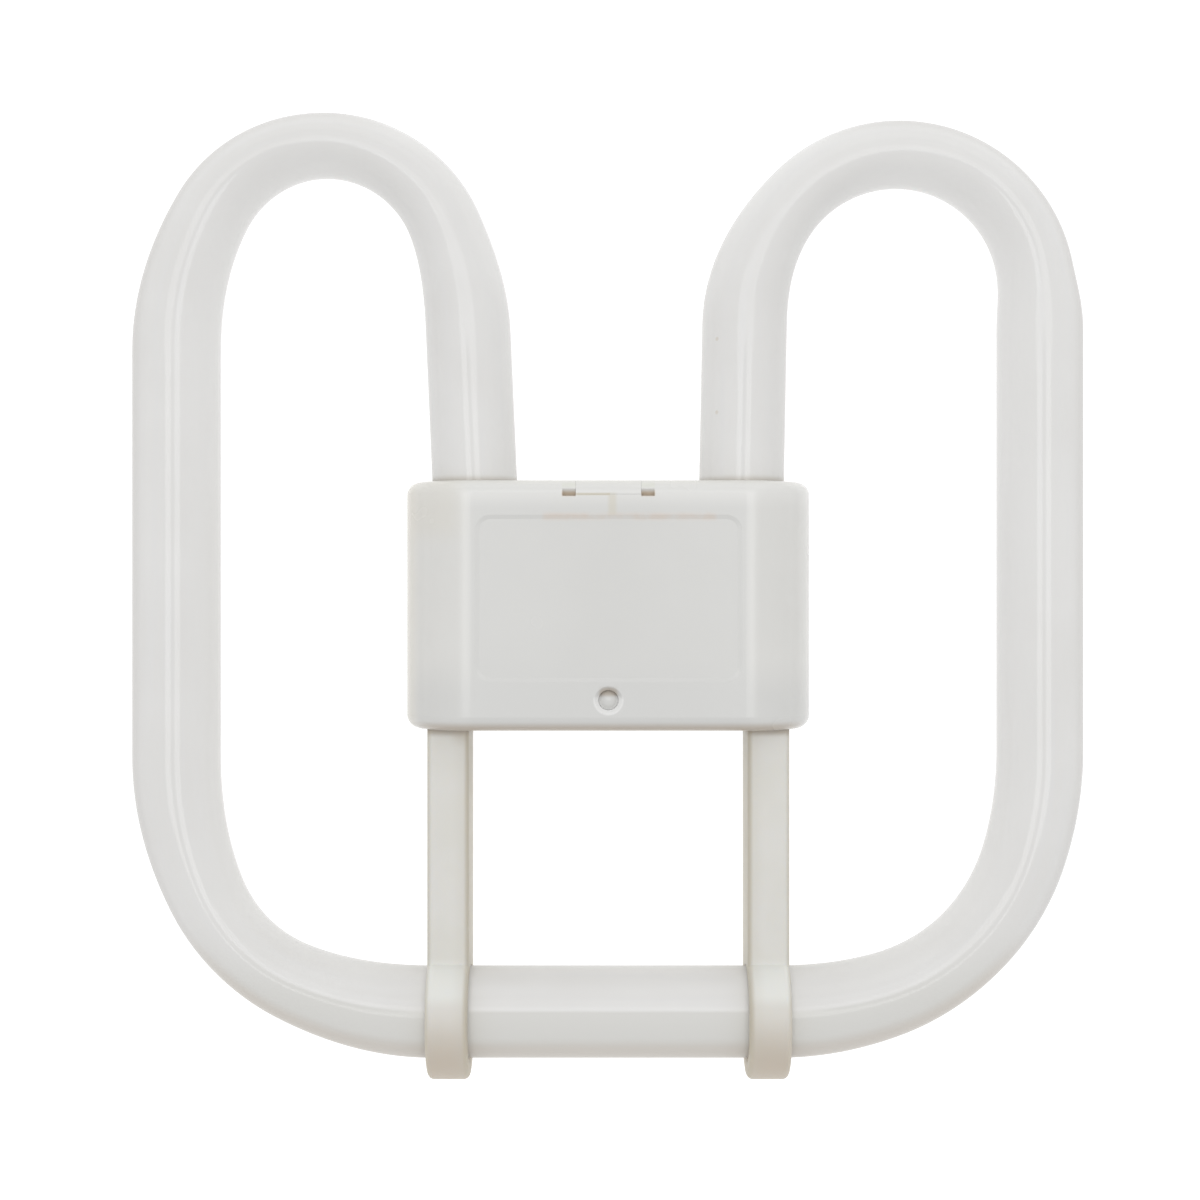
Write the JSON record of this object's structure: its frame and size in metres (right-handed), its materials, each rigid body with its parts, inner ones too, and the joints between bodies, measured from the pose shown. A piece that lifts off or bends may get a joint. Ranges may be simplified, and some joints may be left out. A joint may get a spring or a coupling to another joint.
{
  "type": "square compact fluorescent lamp",
  "caption": "Flat square plug-in compact fluorescent lamp: a white glass tube bent into lobes round a moulded pin cap, steadied by clip-ended support arms.",
  "frame": {"origin": "middle of the holder well, on the plane of the cap's flat back, which the lamp lies on", "axes": "+Z from the cap's back to the lamp's front, +Y along the lamp from the clips towards the open lobes, +X to the right seen from the front"},
  "size_m": [0.1379, 0.1398, 0.022],
  "materials": {
    "coated_glass": "gloss glass over a white phosphor coat",
    "cap_moulding": "satin white thermoplastic",
    "arm_moulding": "natural ivory nylon",
    "pin_brass": "plain turned brass",
    "starter_glass": "clear blown glass",
    "capacitor_dip": "dipped resin",
    "lead_sleeve": "sleeved wire",
    "end_cement": "white silicone"
  },
  "bodies": {
    "root": {"discharge_tube": "coated_glass", "front_cover": "cap_moulding", "rear_base": "cap_moulding", "support_arm_left": "arm_moulding", "support_arm_right": "arm_moulding", "contact_pin_left": "pin_brass", "contact_pin_right": "pin_brass", "starter_bottle": "starter_glass", "starter_capacitor": "capacitor_dip", "lead_pin_left": "lead_sleeve", "lead_pin_right": "lead_sleeve", "lead_starter_left": "lead_sleeve", "lead_starter_right": "lead_sleeve", "end_cement_left": "end_cement", "end_cement_right": "end_cement"}
  },
  "joints": []
}
